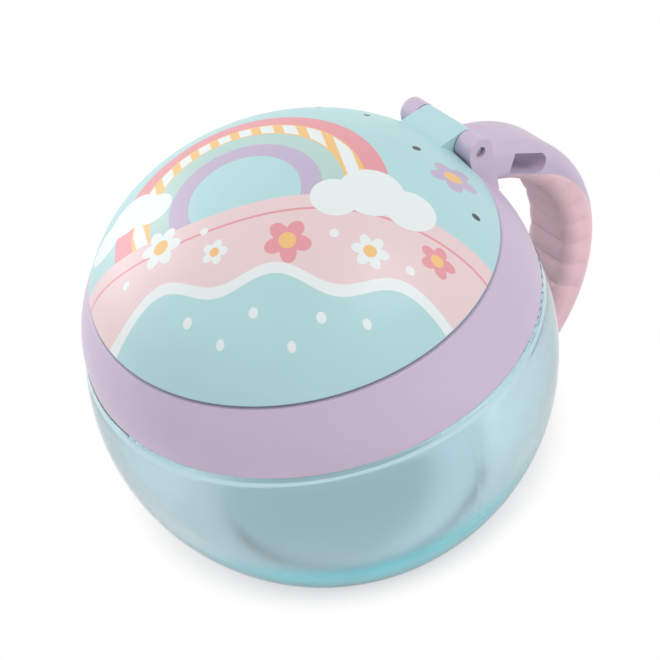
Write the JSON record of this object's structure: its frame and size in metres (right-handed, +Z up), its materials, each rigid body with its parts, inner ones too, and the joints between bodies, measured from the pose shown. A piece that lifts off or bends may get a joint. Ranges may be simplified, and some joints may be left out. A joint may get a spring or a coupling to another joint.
{
  "type": "snack container",
  "caption": "Round clear snack bowl with a screw-on collar, a soft-flapped mouth for small hands, a flip-up domed cover and a curved grip handle.",
  "frame": {"origin": "centre of the flat underside that the bowl stands on", "axes": "+Z up, +Y towards the handle and hinge, -Y towards the cover's free edge, +X to the right seen from the front"},
  "size_m": [0.096, 0.1177, 0.0875],
  "materials": {
    "clear_plastic": "clear, faint blue-green tint, glossy",
    "lavender_plastic": "opaque, satin gloss",
    "aqua_plastic": "opaque, satin gloss, printed on the dome",
    "pink_grip": "soft matt",
    "soft_membrane": "soft, slightly translucent",
    "steel": "plain pin"
  },
  "bodies": {
    "bowl": {"bowl": "clear_plastic"},
    "seal": {"bowl_seal": "soft_membrane"},
    "collar": {"collar": "lavender_plastic", "handle_frame": "lavender_plastic", "handle_grip": "pink_grip", "hinge_pin": "steel", "membrane_ring": "soft_membrane", "retaining_ring": "lavender_plastic"},
    "cover": {"flip_cover": "aqua_plastic"},
    "flap_1": {"flap_1": "soft_membrane"},
    "flap_2": {"flap_2": "soft_membrane"},
    "flap_3": {"flap_3": "soft_membrane"},
    "flap_4": {"flap_4": "soft_membrane"},
    "flap_5": {"flap_5": "soft_membrane"},
    "flap_6": {"flap_6": "soft_membrane"}
  },
  "joints": [
    {"name": "seal_lift", "type": "slide", "parent": "bowl", "child": "seal", "axis": [0, 0, 1], "range_m": [0, 0.0061]},
    {"name": "collar_turn", "type": "hinge", "parent": "seal", "child": "collar", "pos_m": [0, 0, 0.0584], "axis": [0, 0, 1], "range_deg": [0, 180]},
    {"name": "cover_hinge", "type": "hinge", "parent": "collar", "child": "cover", "pos_m": [0, 0.0395, 0.0717], "axis": [-1, 0, 0], "range_deg": [0, 120]},
    {"name": "flap_1_bend", "type": "hinge", "parent": "collar", "child": "flap_1", "pos_m": [0.02605, -0.0012, 0.06225], "axis": [0, -1, 0], "range_deg": [-40, 75], "stiffness_Nm_per_rad": 0.005},
    {"name": "flap_2_bend", "type": "hinge", "parent": "collar", "child": "flap_2", "pos_m": [0.01302, 0.02136, 0.06225], "axis": [0.866, -0.5, 0], "range_deg": [-40, 75], "stiffness_Nm_per_rad": 0.005},
    {"name": "flap_3_bend", "type": "hinge", "parent": "collar", "child": "flap_3", "pos_m": [-0.01302, 0.02136, 0.06225], "axis": [0.866, 0.5, 0], "range_deg": [-40, 75], "stiffness_Nm_per_rad": 0.005},
    {"name": "flap_4_bend", "type": "hinge", "parent": "collar", "child": "flap_4", "pos_m": [-0.02605, -0.0012, 0.06225], "axis": [0, 1, 0], "range_deg": [-40, 75], "stiffness_Nm_per_rad": 0.005},
    {"name": "flap_5_bend", "type": "hinge", "parent": "collar", "child": "flap_5", "pos_m": [-0.01302, -0.02376, 0.06225], "axis": [-0.866, 0.5, 0], "range_deg": [-40, 75], "stiffness_Nm_per_rad": 0.005},
    {"name": "flap_6_bend", "type": "hinge", "parent": "collar", "child": "flap_6", "pos_m": [0.01302, -0.02376, 0.06225], "axis": [-0.866, -0.5, 0], "range_deg": [-40, 75], "stiffness_Nm_per_rad": 0.005}
  ],
  "couplings": [
    {"joint": "seal_lift", "follows": "collar_turn", "m_per_rad": 0.0019099}
  ]
}
